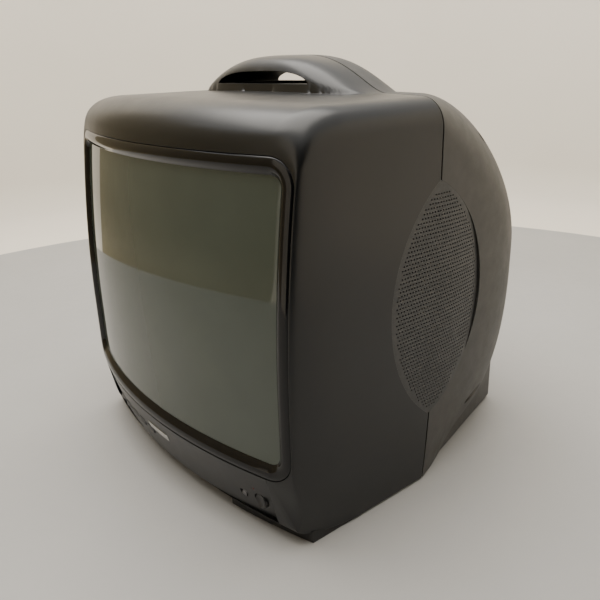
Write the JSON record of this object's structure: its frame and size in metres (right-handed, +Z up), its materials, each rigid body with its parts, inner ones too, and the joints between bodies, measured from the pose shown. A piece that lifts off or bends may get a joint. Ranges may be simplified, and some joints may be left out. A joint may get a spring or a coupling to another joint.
{
  "type": "portable television",
  "caption": "Black portable television with a bulging picture tube, pointed side speaker grilles, push keys and a moulded carrying handle.",
  "frame": {"origin": "on the table under the middle of the cabinet's box", "axes": "+X to the right seen from the front, front towards -Y, +Z up"},
  "size_m": [0.354, 0.369, 0.372],
  "materials": {
    "abs_charcoal": "satin moulded ABS",
    "abs_rear": "matt textured ABS",
    "bezel_black": "high-gloss black",
    "grille_black": "perforated matt ABS",
    "badge_silver": "brushed blank badge",
    "key_black": "satin keys",
    "glass_tube": "grey-green tube face glass",
    "glass_funnel": "coated funnel glass",
    "band_steel": "galvanised band",
    "screw_steel": "zinc plated",
    "copper_coil": "enamelled copper winding",
    "ferrite": "sintered ferrite",
    "rubber_black": "soft rubber",
    "board": "paper phenolic board",
    "electrolytic": "shrink sleeve",
    "plastic_dark": "filled plastic",
    "plastic_cream": "natural nylon",
    "heat_sink_alu": "extruded aluminium",
    "tin_plate": "tin plated can",
    "speaker_steel": "pressed steel",
    "paper_cone": "doped paper",
    "lead_red": "silicone insulated lead",
    "lamp_red": "tinted lens",
    "eye_dark": "infrared window"
  },
  "bodies": {
    "cabinet": {"front_shell": "abs_charcoal", "rear_shell": "abs_rear", "shell_screws": "screw_steel", "screen_bezel": "bezel_black", "control_strip": "abs_charcoal", "badge": "badge_silver", "key_board": "board", "tact_switches": "plastic_dark", "power_switch": "plastic_dark", "lamp": "lamp_red", "remote_eye": "eye_dark", "grille_right": "grille_black", "grille_left": "grille_black", "baffle_right": "plastic_dark", "baffle_left": "plastic_dark", "speaker_frame_right": "speaker_steel", "speaker_frame_left": "speaker_steel", "speaker_magnet_right": "ferrite", "speaker_magnet_left": "ferrite", "speaker_cone_right": "paper_cone", "speaker_cone_left": "paper_cone", "crt_faceplate": "glass_tube", "crt_funnel": "glass_funnel", "crt_neck": "glass_funnel", "electron_gun": "screw_steel", "implosion_band": "band_steel", "tube_screws": "screw_steel", "deflection_coils": "copper_coil", "yoke_core": "ferrite", "yoke_clamp": "screw_steel", "yoke_wedges": "rubber_black", "convergence_rings": "plastic_cream", "tube_socket": "plastic_cream", "neck_board": "board", "degauss_coil": "rubber_black", "anode_cap": "rubber_black", "anode_lead": "lead_red", "main_board": "board", "board_posts": "plastic_dark", "board_screws": "screw_steel", "flyback_transformer": "plastic_dark", "flyback_core": "ferrite", "supply_transformer": "copper_coil", "heat_sinks": "heat_sink_alu", "transistors": "plastic_dark", "capacitors": "electrolytic", "line_filter": "copper_coil", "fuse": "tin_plate", "tuner": "tin_plate", "rear_sockets": "tin_plate", "cord_gland": "rubber_black", "front_feet": "rubber_black", "pads": "rubber_black", "power_spring": "screw_steel"},
    "key_1_body": {"key_1": "key_black"},
    "key_2_body": {"key_2": "key_black"},
    "key_3_body": {"key_3": "key_black"},
    "key_4_body": {"key_4": "key_black"},
    "key_5_body": {"key_5": "key_black"},
    "power_button_body": {"power_button": "key_black"}
  },
  "joints": [
    {"name": "key_1_press", "type": "slide", "parent": "cabinet", "child": "key_1_body", "axis": [0, 1, 0], "range_m": [0, 0.0012], "stiffness_N_per_m": 400},
    {"name": "key_2_press", "type": "slide", "parent": "cabinet", "child": "key_2_body", "axis": [0, 1, 0], "range_m": [0, 0.0012], "stiffness_N_per_m": 400},
    {"name": "key_3_press", "type": "slide", "parent": "cabinet", "child": "key_3_body", "axis": [0, 1, 0], "range_m": [0, 0.0012], "stiffness_N_per_m": 400},
    {"name": "key_4_press", "type": "slide", "parent": "cabinet", "child": "key_4_body", "axis": [0, 1, 0], "range_m": [0, 0.0012], "stiffness_N_per_m": 400},
    {"name": "key_5_press", "type": "slide", "parent": "cabinet", "child": "key_5_body", "axis": [0, 1, 0], "range_m": [0, 0.0012], "stiffness_N_per_m": 400},
    {"name": "power_button_press", "type": "slide", "parent": "cabinet", "child": "power_button_body", "axis": [0, 1, 0], "range_m": [0, 0.003], "stiffness_N_per_m": 500}
  ]
}
